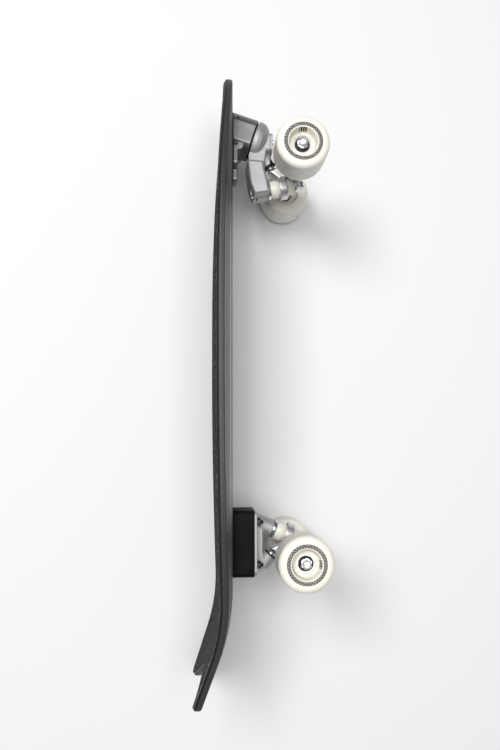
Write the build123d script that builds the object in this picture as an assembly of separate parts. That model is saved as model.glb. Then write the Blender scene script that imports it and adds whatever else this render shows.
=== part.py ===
"""A surf-style cruiser skateboard, standing on its wheels. +X is the nose, +Z is up, millimetres."""

import os
from math import acos, atan2, cos, degrees, hypot, radians, sin, sqrt

from build123d import *

# ---------------------------------------------------------------- driving dimensions
# Deck: pressed laminated wood, flat along the middle, concave rails, kicked swallow tail
DECK_LENGTH = 802.0
DECK_WIDTH = 254.0
DECK_THICKNESS = 10.5
DECK_EDGE_RADIUS = 3.6
FLAT_HALF_WIDTH = 30.0
CONCAVE_RISE = 13.0
KICK_ANGLE = 21.0
KICK_RADIUS = 220.0
KICK_LENGTH = 136.0
WIDEST_FRONT_X = 94.0
WIDEST_REAR_X = 24.0
SHOULDER_X = 239.0
FRONT_SIDE_RADIUS = 1030.0
NOSE_RADIUS = 84.0
PRONG_RADIUS = 12.0
PRONG_SPREAD = 69.0
NOTCH_DEPTH = 33.0
NOTCH_RADIUS = 6.0
GRIP_THICKNESS = 0.9
GRIP_INSET = 3.8

# Deck hardware: countersunk bolts on the usual 54 x 41.3 pattern
BOLT_SPACING_X = 53.98
BOLT_SPACING_Y = 41.28
BOLT_RADIUS = 2.4
BOLT_HOLE_RADIUS = 2.7
BOLT_HEAD_RADIUS = 4.8
BOLT_SOCKET_FLATS = 3.2
BOLT_SOCKET_DEPTH = 1.8
BOLT_PROUD = 3.0
FRONT_BOLT_REACH = 8.0
DECK_NUT_FLATS = 8.7
DECK_NUT_HEIGHT = 5.0

# Places along the board
WHEELBASE = 502.0
REAR_AXLE_X = -225.0
REAR_PLATE_X = -213.0
FRONT_PLATE_X = 319.0

# Wheels and bearings
WHEEL_DIAMETER = 66.0
WHEEL_WIDTH = 51.0
WHEEL_CENTRE_Y = 95.5
TREAD_EDGE_RADIUS = 6.75
FACE_RADIUS = 18.0
CORE_RADIUS = 16.5
CORE_WIDTH = 28.0
CONE_FOOT_RADIUS = 15.0
CORE_SHOULDER_RADIUS = 8.7
BEARING_RADIUS = 11.0
BEARING_WIDTH = 7.0
BEARING_GAP = 10.0
BALL_RADIUS = 1.95
BALL_COUNT = 7
OUTER_RACE_INSIDE = 9.3
INNER_RACE_OUTSIDE = 5.9
SHIELD_THICKNESS = 0.4
SPACER_RADIUS = 5.6
AXLE_RADIUS = 4.0
AXLE_PROUD = 5.2
SPEED_RING_THICKNESS = 0.8
SPEED_RING_RADIUS = 5.8
AXLE_NUT_FLATS = 12.7
AXLE_NUT_HEIGHT = 6.5

# Truck, in its own frame: +X toward the pivot, +Z up, the axle's centre at the origin
TRUCK_PITCH = 5.5
RING_X = -19.5
RING_Z = 11.0
PIVOT_X = 13.5
PIVOT_Z = 35.0
KINGPIN_TILT = 16.5
RING_RADIUS = 15.5
RING_THICKNESS = 10.0
RING_HOLE_RADIUS = 8.0
SEAT_DEPTH = 1.5
BEAM_MIDDLE_RADIUS = 11.0
BEAM_WAIST_RADIUS = 7.4
BEAM_END_RADIUS = 8.3
BEAM_END_LENGTH = 20.0
WEB_HALF_WIDTH = 8.0
ARM_HALF_DEPTH = 6.3
SLOT_RADIUS = 9.8
SLOT_SPREAD = 12.0
PIVOT_NOSE_RADIUS = 4.8
PIVOT_CONE_RADIUS = 7.0
PIVOT_CUP_RADIUS = 7.5
PIVOT_CUP_DEPTH = 6.0
PIVOT_CUP_LIP = 1.8
PIVOT_CUP_LIP_RADIUS = 9.0
HOUSING_RADIUS = 10.0
HOUSING_LENGTH = 16.0
KINGPIN_RADIUS = 4.76
KINGPIN_HEAD_RADIUS = 7.0
KINGPIN_HEAD_HEIGHT = 6.0
KINGPIN_SEAT = 37.8
KINGPIN_NUT_FLATS = 14.3
KINGPIN_NUT_HEIGHT = 9.0
KINGPIN_PROUD = 1.6
UPPER_BUSHING_HEIGHT = 16.0
LOWER_BUSHING_HEIGHT = 12.5
BUSHING_END_RADIUS = 11.0
BUSHING_BELLY_RADIUS = 12.0
LOWER_BUSHING_FOOT_RADIUS = 8.3
LOWER_SEAT_REACH = 9.5
WASHER_THICKNESS = 2.1
WASHER_LIP = 2.0
WASHER_WALL = 1.1
LOWER_WASHER_RADIUS = 8.9

# Rear: riser block and cast baseplate
REAR_TRUCK_HEIGHT = 54.0
RISER_THICKNESS = 28.0
RISER_LENGTH = 84.0
RISER_WIDTH = 57.0
RISER_CORNER = 6.0
PLATE_LENGTH = 80.0
PLATE_WIDTH = 55.5
PLATE_THICKNESS = 3.6
BOSS_RADIUS = 11.0
ARCH_RISE = 42.3
ARCH_HALF_WIDTH = 10.0
HOUSING_HALF_WIDTH = 10.0

# Front: surf adapter, a swivel whose axis leans forward going up
PAD_THICKNESS = 1.2
SWIVEL_TILT = 18.0
SWIVEL_FROM_AXLE_X = 46.0
SWIVEL_FROM_AXLE_Z = 52.8
SWIVEL_RANGE = 38.0
SEAM_GAP = 1.8
BASE_RADIUS = 28.0
BASE_HALF_WIDTH = 25.0
FLANGE_THICKNESS = 6.2
FLANGE_WIDTH = 57.0
FLANGE_REAR = 43.0
FLANGE_LENGTH = 32.0
LUG_HEIGHT = 14.0
LUG_LENGTH = 11.0
FOOT_REACH = 17.0
FOOT_HALF_WIDTH = 13.0
SEAL_INSET = 0.5
SEAL_WIDTH = 3.4
SHAFT_RADIUS = 6.0
SHAFT_HEAD_RADIUS = 9.0
SHAFT_HEAD_HEIGHT = 4.0
SHAFT_HEAD_AT = 21.5
SHAFT_HUB_RADIUS = 12.5
NEEDLE_BEARING_RADIUS = 8.5
NEEDLE_BEARING_LENGTH = 10.0
THRUST_RADIUS = 11.5
LOCK_NUT_FLATS = 19.0
LOCK_NUT_HEIGHT = 5.0
SPRING_RADIUS = 16.8
SPRING_WIRE_RADIUS = 1.4
SPRING_PITCH = 3.4
SPRING_TURNS = 2.25
SPRING_CAVITY_RADIUS = 20.4
SPRING_CAVITY_DEPTH = 9.5
STOP_PIN_RADIUS = 1.75
STOP_PIN_PLACE = 24.0
STOP_PIN_DEPTH = 5.5
BELL_RADIUS = 27.8
BLOCK_HALF_WIDTH = 23.0
BLOCK_RISE = 58.5
BLOCK_END = 34.0
BLOCK_LENGTH = 46.0
NECK_HALF_WIDTH = 17.5
COVER_THICKNESS = 2.5
COVER_DROP = 25.2
COVER_FRONT = 6.0
COVER_REAR = 19.0
COVER_HALF_WIDTH = 18.5
COVER_SCREW_SPREAD = 15.0
COVER_SCREW_RADIUS = 2.0
COVER_SCREW_HEAD = 3.6

# Clearances
RUNNING = 0.05
LOOSE = 0.3

# ---------------------------------------------------------------- places that follow
AXLE_Z = WHEEL_DIAMETER / 2
FRONT_AXLE_X = REAR_AXLE_X + WHEELBASE
PLATE_TOP_Z = AXLE_Z + REAR_TRUCK_HEIGHT
DECK_Z = PLATE_TOP_Z + RISER_THICKNESS
DECK_TOP_Z = DECK_Z + DECK_THICKNESS
GRIP_TOP_Z = DECK_TOP_Z + GRIP_THICKNESS
BASE_TOP_Z = DECK_Z - PAD_THICKNESS
NOSE_X = DECK_LENGTH / 2
TAIL_X = -DECK_LENGTH / 2
KICK_START_X = TAIL_X + KICK_LENGTH
CONCAVE_SPAN = DECK_WIDTH / 2 - FLAT_HALF_WIDTH
CONCAVE_RADIUS = (CONCAVE_SPAN**2 + CONCAVE_RISE**2) / (2 * CONCAVE_RISE)
BEARING_INSIDE_Y = WHEEL_CENTRE_Y - BEARING_GAP / 2 - BEARING_WIDTH
BEARING_OUTSIDE_Y = WHEEL_CENTRE_Y + BEARING_GAP / 2 + BEARING_WIDTH
HANGER_END_Y = BEARING_INSIDE_Y - SPEED_RING_THICKNESS
NUT_OUTSIDE_Y = BEARING_OUTSIDE_Y + SPEED_RING_THICKNESS + AXLE_NUT_HEIGHT
AXLE_END_Y = NUT_OUTSIDE_Y + AXLE_PROUD
RACE_MIDDLE_RADIUS = (OUTER_RACE_INSIDE + INNER_RACE_OUTSIDE) / 2
SEAT_HEIGHT = RING_THICKNESS / 2 - SEAT_DEPTH
UPPER_WASHER_AT = SEAT_HEIGHT + UPPER_BUSHING_HEIGHT
KINGPIN_FACE = UPPER_WASHER_AT + WASHER_THICKNESS
LOWER_WASHER_AT = -SEAT_HEIGHT - LOWER_BUSHING_HEIGHT
KINGPIN_NUT_AT = LOWER_WASHER_AT - WASHER_THICKNESS
KINGPIN_TIP = KINGPIN_NUT_AT - KINGPIN_NUT_HEIGHT - KINGPIN_PROUD
SEAM_HALF = SEAM_GAP / 2
NEEDLE_TOP = -SEAM_HALF - 0.6
NEEDLE_BOTTOM = NEEDLE_TOP - NEEDLE_BEARING_LENGTH
LOWER_THRUST_AT = NEEDLE_BOTTOM - 1.5
THRUST_THICKNESS = SEAM_GAP - RUNNING
LOCK_NUT_TOP = LOWER_THRUST_AT - THRUST_THICKNESS
ALIGN_UP = (Align.CENTER, Align.CENTER, Align.MIN)

os.makedirs("parts", exist_ok=True)


# ---------------------------------------------------------------- shared shapes
class Line3:
    """A line in the board's middle plane; places on it are named by their distance along."""

    def __init__(self, x, z, direction_x, direction_z):
        length = hypot(direction_x, direction_z)
        self.origin = Vector(x, 0, z)
        self.direction = Vector(direction_x / length, 0, direction_z / length)

    def plane(self, distance):
        """The plane square to the line at a place on it, with its y axis along the board's."""
        across = Vector(self.direction.Z, 0, -self.direction.X)
        return Plane(self.origin + self.direction * distance, x_dir=across, z_dir=self.direction)

    def rod(self, radius, start, end):
        return self.plane(start) * Cylinder(radius, end - start, align=ALIGN_UP)

    def tube(self, outer, inner, start, end):
        return self.rod(outer, start, end) - self.rod(inner, start, end)

    def cone(self, start_radius, end_radius, start, end):
        return self.plane(start) * Cone(start_radius, end_radius, end - start, align=ALIGN_UP)

    def ball(self, radius, distance):
        return self.plane(distance) * Sphere(radius)

    def turned(self, points):
        """A solid of revolution about the line, from (radius, distance along) corners."""
        outline = Polyline([(radius, 0, along) for radius, along in points], close=True)
        return self.plane(0) * revolve(make_face(outline), Axis.Z)

    def nut(self, flats, hole, start, end):
        """A hexagonal nut with chamfered corners."""
        corner = flats / sqrt(3)
        height = end - start
        prism = extrude(RegularPolygon(corner, 6), height)
        blank = Cylinder(corner, height, align=ALIGN_UP)
        blank = chamfer(blank.edges().filter_by(GeomType.CIRCLE), (corner - flats / 2) * 0.6)
        return self.plane(start) * (prism & blank) - self.rod(hole, start, end)


def side_prism(points, half_width):
    """A prism across the board, from (x, z) corners seen from the side."""
    outline = Polyline([(x, -half_width, z) for x, z in points], close=True)
    return extrude(make_face(outline), 2 * half_width, dir=(0, 1, 0))


def block(low, high):
    """A box between two opposite corners."""
    size = [b - a for a, b in zip(low, high)]
    return Pos(*low) * Box(*size, align=(Align.MIN, Align.MIN, Align.MIN))


def rounded_plate(x_low, x_high, width, corner, low, high):
    face = Pos((x_low + x_high) / 2, 0) * RectangleRounded(x_high - x_low, width, corner)
    return prism(face, low, high)


def prism(face, low, high):
    return Pos(0, 0, low) * extrude(face, high - low)


def upright(x, y, radius, low, high):
    return Pos(x, y, low) * Cylinder(radius, high - low, align=ALIGN_UP)


def keep(name, *shapes):
    """Write one sub-part, as its solids."""
    solids = [solid for shape in shapes for solid in shape.solids()]
    export_step(Compound(label=name, children=solids), f"parts/{name}.step")


# ---------------------------------------------------------------- deck and grip tape
def deck_section(low, high):
    """The board's cross-section between two heights above its underside, facing along X."""
    reach = CONCAVE_SPAN + 6.0
    angle = reach / CONCAVE_RADIUS

    def rail(height, share):
        radius = CONCAVE_RADIUS - height
        y = FLAT_HALF_WIDTH + radius * sin(angle * share)
        return (y, CONCAVE_RADIUS - radius * cos(angle * share))

    def mirrored(point):
        return (-point[0], point[1])

    low_flat = (FLAT_HALF_WIDTH, low)
    high_flat = (FLAT_HALF_WIDTH, high)
    lines = [
        Line(mirrored(low_flat), low_flat),
        ThreePointArc(low_flat, rail(low, 0.5), rail(low, 1)),
        Line(rail(low, 1), rail(high, 1)),
        ThreePointArc(rail(high, 1), rail(high, 0.5), high_flat),
        Line(high_flat, mirrored(high_flat)),
        ThreePointArc(mirrored(high_flat), mirrored(rail(high, 0.5)), mirrored(rail(high, 1))),
        Line(mirrored(rail(high, 1)), mirrored(rail(low, 1))),
        ThreePointArc(mirrored(rail(low, 1)), mirrored(rail(low, 0.5)), mirrored(low_flat)),
    ]
    return make_face(lines)


def pressed_sheet(low, high):
    """The pressed blank: straight along the board, then bent up through the kick."""
    section = deck_section(low, high)
    overhang = 20.0
    start = Plane(origin=(KICK_START_X, 0, DECK_Z), x_dir=(0, 1, 0), z_dir=(1, 0, 0))
    flat = extrude(start * section, NOSE_X + overhang - KICK_START_X)
    hinge = Axis((KICK_START_X, 0, DECK_Z + KICK_RADIUS), (0, 1, 0))
    bend = revolve(start * section, hinge, KICK_ANGLE)
    bent_face = (start * section).rotate(hinge, KICK_ANGLE)
    back = Vector(-cos(radians(KICK_ANGLE)), 0, sin(radians(KICK_ANGLE)))
    tail = extrude(bent_face, KICK_LENGTH + overhang, dir=back)
    return flat + bend + tail


def tangent_radius(point, normal, centre, radius):
    """The radius of the arc leaving a point square to its normal, and meeting a circle inside."""
    away = point - centre
    return (radius**2 - away.dot(away)) / (2 * (normal.dot(away) + radius))


def arc_about(centre, radius, start, end):
    """An arc between two directions, given in degrees."""

    def at(angle):
        return centre + Vector(radius, 0).rotate(Axis.Z, angle)

    return ThreePointArc(at(start), at((start + end) / 2), at(end))


def direction_of(vector):
    return degrees(atan2(vector.Y, vector.X))


def deck_outline(inset):
    """The board's plan: rounded nose, straight middle, swallow tail, all in tangent arcs."""
    half = DECK_WIDTH / 2
    nose = Vector(NOSE_X - NOSE_RADIUS, 0)
    prong = Vector(TAIL_X + PRONG_RADIUS, PRONG_SPREAD)
    notch = Vector(TAIL_X + NOTCH_DEPTH - NOTCH_RADIUS, 0)
    front_centre = Vector(WIDEST_FRONT_X, half - FRONT_SIDE_RADIUS)
    lean = Vector(SHOULDER_X - WIDEST_FRONT_X, 0).X / FRONT_SIDE_RADIUS
    out = Vector(lean, sqrt(1 - lean**2))
    shoulder_start = front_centre + out * FRONT_SIDE_RADIUS
    shoulder_radius = tangent_radius(shoulder_start, -out, nose, NOSE_RADIUS)
    shoulder_centre = shoulder_start - out * shoulder_radius
    nose_turn = direction_of(nose - shoulder_centre)
    widest = Vector(WIDEST_REAR_X, half)
    tail_radius = tangent_radius(widest, Vector(0, -1), prong, PRONG_RADIUS)
    tail_centre = widest - Vector(0, tail_radius)
    prong_turn = direction_of(prong - tail_centre)
    across = notch - prong
    swing = degrees(acos((PRONG_RADIUS + NOTCH_RADIUS) / across.length))
    notch_turn = direction_of(across) % 360 - swing
    facing = Vector(1, 0).rotate(Axis.Z, notch_turn)
    side = [
        arc_about(nose, NOSE_RADIUS - inset, 0, nose_turn),
        arc_about(shoulder_centre, shoulder_radius - inset, nose_turn, direction_of(out)),
        arc_about(front_centre, FRONT_SIDE_RADIUS - inset, direction_of(out), 90),
        Line((WIDEST_FRONT_X, half - inset), (WIDEST_REAR_X, half - inset)),
        arc_about(tail_centre, tail_radius - inset, 90, prong_turn),
        arc_about(prong, PRONG_RADIUS - inset, prong_turn, notch_turn),
        Line(prong + facing * (PRONG_RADIUS - inset), notch - facing * (NOTCH_RADIUS + inset)),
        arc_about(notch, NOTCH_RADIUS + inset, notch_turn - 180, 0),
    ]
    other = [mirror(edge, about=Plane.XZ) for edge in side]
    return make_face(side + other)


def bolt_places(centre_x):
    for x in (-BOLT_SPACING_X / 2, BOLT_SPACING_X / 2):
        for y in (-BOLT_SPACING_Y / 2, BOLT_SPACING_Y / 2):
            yield centre_x + x, y


def countersink(x, y):
    """The head of a flat-head bolt, its top flush with the grip tape."""
    depth = BOLT_HEAD_RADIUS - BOLT_RADIUS
    cone = Cone(BOLT_RADIUS, BOLT_HEAD_RADIUS, depth, align=ALIGN_UP)
    return Pos(x, y, DECK_TOP_Z - depth) * cone + upright(x, y, BOLT_HEAD_RADIUS, DECK_TOP_Z, GRIP_TOP_Z)


def bolt(x, y, end_z):
    socket = Pos(x, y, GRIP_TOP_Z - BOLT_SOCKET_DEPTH) * extrude(
        RegularPolygon(BOLT_SOCKET_FLATS / sqrt(3), 6), BOLT_SOCKET_DEPTH
    )
    return countersink(x, y) + upright(x, y, BOLT_RADIUS, end_z, DECK_TOP_Z - 1) - socket


def all_bolt_places():
    return [*bolt_places(FRONT_PLATE_X), *bolt_places(REAR_PLATE_X)]


def drill(shape, places, radius):
    for x, y in places:
        shape -= upright(x, y, radius, 0, 2 * DECK_Z)
    return shape


def rim_edges(solid):
    """The edges where the walls meet the top and the underside."""
    walls = [face for face in solid.faces() if abs(face.normal_at().Z) < 0.5]
    return ShapeList([edge for wall in walls for edge in wall.edges() if abs((edge % 0.5).Z) < 0.7])


def make_deck():
    outline = prism(deck_outline(0), DECK_Z - 1, 2 * DECK_Z)
    board = pressed_sheet(0, DECK_THICKNESS) & outline
    board = fillet(rim_edges(board), DECK_EDGE_RADIUS)
    board = drill(board, all_bolt_places(), BOLT_HOLE_RADIUS)
    for x, y in all_bolt_places():
        board -= countersink(x, y)
    return board


def make_grip():
    outline = prism(deck_outline(GRIP_INSET), DECK_Z - 1, 2 * DECK_Z)
    sheet = pressed_sheet(DECK_THICKNESS, DECK_THICKNESS + GRIP_THICKNESS) & outline
    return drill(sheet, all_bolt_places(), BOLT_HEAD_RADIUS)


keep("deck", make_deck())
keep("grip_tape", make_grip())
base_bolt_end = BASE_TOP_Z - FRONT_BOLT_REACH
rear_nut_z = PLATE_TOP_Z - PLATE_THICKNESS - DECK_NUT_HEIGHT
keep("front_deck_bolts", *[bolt(x, y, base_bolt_end) for x, y in bolt_places(FRONT_PLATE_X)])
keep("rear_deck_bolts", *[bolt(x, y, rear_nut_z - BOLT_PROUD) for x, y in bolt_places(REAR_PLATE_X)])


# ---------------------------------------------------------------- trucks
KINGPIN = Line3(RING_X, RING_Z, -sin(radians(KINGPIN_TILT)), cos(radians(KINGPIN_TILT)))
PIVOT = Line3(PIVOT_X, PIVOT_Z, PIVOT_X - RING_X, PIVOT_Z - RING_Z)
AXLE = Axis.Y


def along_axle(radius, start, end):
    return Pos(0, start, 0) * Rot(-90, 0, 0) * Cylinder(radius, end - start, align=ALIGN_UP)


def axle_tube(outer, inner, start, end):
    return along_axle(outer, start, end) - along_axle(inner, start, end)


def turned_on_axle(edges):
    return revolve(make_face(edges), AXLE)


def truck_place(front):
    """Where a truck stands: the rear one faces backward, each pitched to suit its seat."""
    if front:
        return Pos(FRONT_AXLE_X, 0, AXLE_Z) * Rot(0, TRUCK_PITCH, 0)
    return Pos(REAR_AXLE_X, 0, AXLE_Z) * Rot(0, 0, 180) * Rot(0, -TRUCK_PITCH, 0)


def make_hanger():
    """Cast beam over the axle, a ring round the kingpin and a nose for the pivot cup."""
    end = HANGER_END_Y
    knee = end - BEAM_END_LENGTH
    waist = knee - 8.0
    hip = WEB_HALF_WIDTH + 4.0
    side = Spline(
        (BEAM_END_RADIUS, knee),
        (BEAM_WAIST_RADIUS, waist),
        (BEAM_MIDDLE_RADIUS, hip),
        tangents=[(-0.2, -1), (0, -1)],
    )
    outline = [
        Line((0, end), (BEAM_END_RADIUS, end)),
        Line((BEAM_END_RADIUS, end), (BEAM_END_RADIUS, knee)),
        side,
        Line((BEAM_MIDDLE_RADIUS, hip), (BEAM_MIDDLE_RADIUS, 0)),
        Line((BEAM_MIDDLE_RADIUS, 0), (0, 0)),
        Line((0, 0), (0, end)),
    ]
    half = turned_on_axle(outline)
    beam = half + mirror(half, about=Plane.XZ)
    up = KINGPIN.direction
    out = Vector(up.Z, 0, -up.X)
    arm = PIVOT.direction
    normal = Vector(-arm.Z, 0, arm.X)
    ring = KINGPIN.origin
    arm_root = PIVOT.origin - arm * (PIVOT_CUP_DEPTH + PIVOT_CUP_LIP + 5.0)
    corners = [
        ring + out * (RING_RADIUS - 2) + up * RING_THICKNESS / 2,
        arm_root + normal * ARM_HALF_DEPTH,
        arm_root - normal * ARM_HALF_DEPTH,
        Vector(BEAM_MIDDLE_RADIUS - 1, 0, 3),
        Vector(2, 0, -BEAM_MIDDLE_RADIUS + 2),
        ring + out * SLOT_RADIUS - up * RING_THICKNESS / 2,
    ]
    web = side_prism([(corner.X, corner.Z) for corner in corners], WEB_HALF_WIDTH)
    web = chamfer(web.faces().filter_by(Axis.Y).edges(), 2.0)
    neck_start = -PIVOT_CUP_DEPTH - PIVOT_CUP_LIP - 8.0
    neck = PIVOT.cone(PIVOT_CONE_RADIUS, PIVOT_NOSE_RADIUS, neck_start, neck_start + 6.0)
    nose = PIVOT.rod(PIVOT_NOSE_RADIUS, neck_start, 0) + PIVOT.ball(PIVOT_NOSE_RADIUS, 0)
    half_ring = RING_THICKNESS / 2
    hanger = beam + web + neck + nose + KINGPIN.rod(RING_RADIUS, -half_ring, half_ring)
    seat_radius = BUSHING_END_RADIUS + RUNNING
    hanger -= KINGPIN.rod(RING_HOLE_RADIUS, -half_ring - 1, half_ring + 1)
    hanger -= KINGPIN.rod(seat_radius, SEAT_HEIGHT, half_ring + 1)
    hanger -= KINGPIN.rod(seat_radius, -SEAT_HEIGHT - LOWER_SEAT_REACH, -SEAT_HEIGHT)
    slot = extrude(SlotCenterToCenter(SLOT_SPREAD, 2 * SLOT_RADIUS, rotation=90), 40)
    hanger -= KINGPIN.plane(-half_ring - 40) * slot
    return hanger - along_axle(AXLE_RADIUS, -end - 1, end + 1)


def make_kingpin():
    head = KINGPIN.rod(KINGPIN_HEAD_RADIUS, KINGPIN_SEAT, KINGPIN_SEAT + KINGPIN_HEAD_HEIGHT)
    return head + KINGPIN.rod(KINGPIN_RADIUS, KINGPIN_TIP, KINGPIN_SEAT + 1)


def make_pivot_cup():
    closed = PIVOT_NOSE_RADIUS + 2.0
    shell = PIVOT.rod(PIVOT_CUP_RADIUS, -PIVOT_CUP_DEPTH, closed)
    shell += PIVOT.rod(PIVOT_CUP_LIP_RADIUS, -PIVOT_CUP_DEPTH - PIVOT_CUP_LIP, -PIVOT_CUP_DEPTH)
    bore = PIVOT_NOSE_RADIUS + RUNNING
    return shell - PIVOT.rod(bore, -PIVOT_CUP_DEPTH - PIVOT_CUP_LIP - 1, 0) - PIVOT.ball(bore, 0)


def make_bushings():
    """Urethane: a barrel on the board's side, a cone on the road's, both round the kingpin."""
    bore = KINGPIN_RADIUS + LOOSE
    low = SEAT_HEIGHT + RUNNING
    middle = (low + UPPER_WASHER_AT) / 2
    barrel = [
        (bore, low),
        (BUSHING_END_RADIUS, low),
        (BUSHING_END_RADIUS, low + SEAT_DEPTH + 1),
        (BUSHING_BELLY_RADIUS, low + SEAT_DEPTH + 3),
        (BUSHING_BELLY_RADIUS, middle + 2),
        (BUSHING_END_RADIUS, UPPER_WASHER_AT - WASHER_LIP - 1),
        (BUSHING_END_RADIUS, UPPER_WASHER_AT),
        (bore, UPPER_WASHER_AT),
    ]
    top = -SEAT_HEIGHT - RUNNING
    cone = [
        (bore, top),
        (BUSHING_END_RADIUS, top),
        (BUSHING_END_RADIUS, top - SEAT_DEPTH - 1),
        (LOWER_BUSHING_FOOT_RADIUS, LOWER_WASHER_AT + 1),
        (LOWER_BUSHING_FOOT_RADIUS - 0.5, LOWER_WASHER_AT),
        (bore, LOWER_WASHER_AT),
    ]
    return KINGPIN.turned(barrel), KINGPIN.turned(cone)


def make_cup_washers():
    inside = BUSHING_END_RADIUS + LOOSE
    outside = inside + WASHER_WALL
    cup = [
        (KINGPIN_RADIUS, UPPER_WASHER_AT),
        (inside, UPPER_WASHER_AT),
        (inside, UPPER_WASHER_AT - WASHER_LIP),
        (outside, UPPER_WASHER_AT - WASHER_LIP),
        (outside, KINGPIN_FACE),
        (KINGPIN_RADIUS, KINGPIN_FACE),
    ]
    flat = KINGPIN.tube(LOWER_WASHER_RADIUS, KINGPIN_RADIUS, KINGPIN_NUT_AT, LOWER_WASHER_AT)
    return KINGPIN.turned(cup), flat


def on_both_sides(solid):
    return [solid, mirror(solid, about=Plane.XZ)]


def ring_places():
    """Where the two bearings of the left wheel start, along the axle."""
    return BEARING_INSIDE_Y, BEARING_OUTSIDE_Y - BEARING_WIDTH


def groove(start):
    """The round track the balls run in, shared by both races."""
    circle = Pos(RACE_MIDDLE_RADIUS, start + BEARING_WIDTH / 2) * Circle(BALL_RADIUS + RUNNING)
    return revolve(circle, AXLE)


def make_inner_races():
    made = []
    for start in ring_places():
        race = axle_tube(INNER_RACE_OUTSIDE, AXLE_RADIUS, start, start + BEARING_WIDTH) - groove(start)
        made += on_both_sides(race)
    return made


def make_axle_nuts():
    axle_line = Plane(origin=(0, 0, 0), x_dir=(1, 0, 0), z_dir=(0, 1, 0))
    start = NUT_OUTSIDE_Y - AXLE_NUT_HEIGHT
    corner = AXLE_NUT_FLATS / sqrt(3)
    hexagon = extrude(RegularPolygon(corner, 6), AXLE_NUT_HEIGHT)
    blank = Cylinder(corner, AXLE_NUT_HEIGHT, align=ALIGN_UP)
    outer = blank.edges().filter_by(GeomType.CIRCLE).sort_by(Axis.Z)[-1]
    nut = hexagon & chamfer(outer, (corner - AXLE_NUT_FLATS / 2) * 0.9)
    nut = axle_line * Pos(0, 0, start) * nut - along_axle(AXLE_RADIUS, start, NUT_OUTSIDE_Y)
    return on_both_sides(nut)


def truck_pieces():
    upper_bushing, lower_bushing = make_bushings()
    inner_end = BEARING_INSIDE_Y + BEARING_WIDTH
    outer_start = BEARING_OUTSIDE_Y - BEARING_WIDTH
    inner_ring = axle_tube(SPEED_RING_RADIUS, AXLE_RADIUS, HANGER_END_Y, BEARING_INSIDE_Y)
    outer_ring = axle_tube(
        SPEED_RING_RADIUS, AXLE_RADIUS, BEARING_OUTSIDE_Y, BEARING_OUTSIDE_Y + SPEED_RING_THICKNESS
    )
    axle = along_axle(AXLE_RADIUS, -AXLE_END_Y, AXLE_END_Y)
    nut_end = KINGPIN_NUT_AT - KINGPIN_NUT_HEIGHT
    return {
        "hanger": [make_hanger()],
        "axle": [chamfer(axle.edges().filter_by(GeomType.CIRCLE), 0.6)],
        "pivot_cup": [make_pivot_cup()],
        "kingpin": [make_kingpin()],
        "kingpin_nut": [KINGPIN.nut(KINGPIN_NUT_FLATS, KINGPIN_RADIUS, nut_end, KINGPIN_NUT_AT)],
        "boardside_bushing": [upper_bushing],
        "roadside_bushing": [lower_bushing],
        "kingpin_washers": make_cup_washers(),
        "inner_races": make_inner_races(),
        "bearing_spacers": on_both_sides(axle_tube(SPACER_RADIUS, AXLE_RADIUS, inner_end, outer_start)),
        "speed_rings": on_both_sides(inner_ring) + on_both_sides(outer_ring),
        "axle_nuts": make_axle_nuts(),
    }


for place_name, is_front in (("front", True), ("rear", False)):
    for piece_name, piece_solids in truck_pieces().items():
        placed = [truck_place(is_front) * solid for solid in piece_solids]
        keep(f"{place_name}_{piece_name}", *placed)


# ---------------------------------------------------------------- wheels
def make_tyre():
    """Cast urethane: flat tread, rounded lips, a dished face, cast round the core."""
    half = WHEEL_WIDTH / 2
    radius = WHEEL_DIAMETER / 2
    round_start = half - TREAD_EDGE_RADIUS
    bend = TREAD_EDGE_RADIUS * sin(radians(45))
    lip = ThreePointArc(
        (radius, round_start),
        (radius - TREAD_EDGE_RADIUS + bend, round_start + bend),
        (radius - TREAD_EDGE_RADIUS, half),
    )
    outline = [
        Line((radius, 0), (radius, round_start)),
        lip,
        Line((radius - TREAD_EDGE_RADIUS, half), (FACE_RADIUS, half)),
        Line((FACE_RADIUS, half), (CONE_FOOT_RADIUS, CORE_WIDTH / 2)),
        Line((CONE_FOOT_RADIUS, CORE_WIDTH / 2), (CORE_RADIUS, CORE_WIDTH / 2)),
        Line((CORE_RADIUS, CORE_WIDTH / 2), (CORE_RADIUS, 0)),
        Line((CORE_RADIUS, 0), (radius, 0)),
    ]
    side = turned_on_axle(outline)
    return side + mirror(side, about=Plane.XZ)


def make_core():
    half = CORE_WIDTH / 2
    core = axle_tube(CORE_RADIUS, CORE_SHOULDER_RADIUS, -half, half)
    for start in (-half, BEARING_GAP / 2):
        core -= along_axle(BEARING_RADIUS, start, start + half - BEARING_GAP / 2)
    return core


def make_outer_race(start):
    """Outer ring with the two thin shields it carries."""
    race = axle_tube(BEARING_RADIUS, OUTER_RACE_INSIDE, start, start + BEARING_WIDTH) - groove(start)
    for face in (start, start + BEARING_WIDTH - SHIELD_THICKNESS):
        race += axle_tube(
            OUTER_RACE_INSIDE + 0.5, INNER_RACE_OUTSIDE + RUNNING, face, face + SHIELD_THICKNESS
        )
    return race


def make_balls(start):
    middle = start + BEARING_WIDTH / 2
    ball = Pos(RACE_MIDDLE_RADIUS, middle, 0) * Sphere(BALL_RADIUS)
    return [Rot(0, 360 / BALL_COUNT * turn, 0) * ball for turn in range(BALL_COUNT)]


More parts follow.
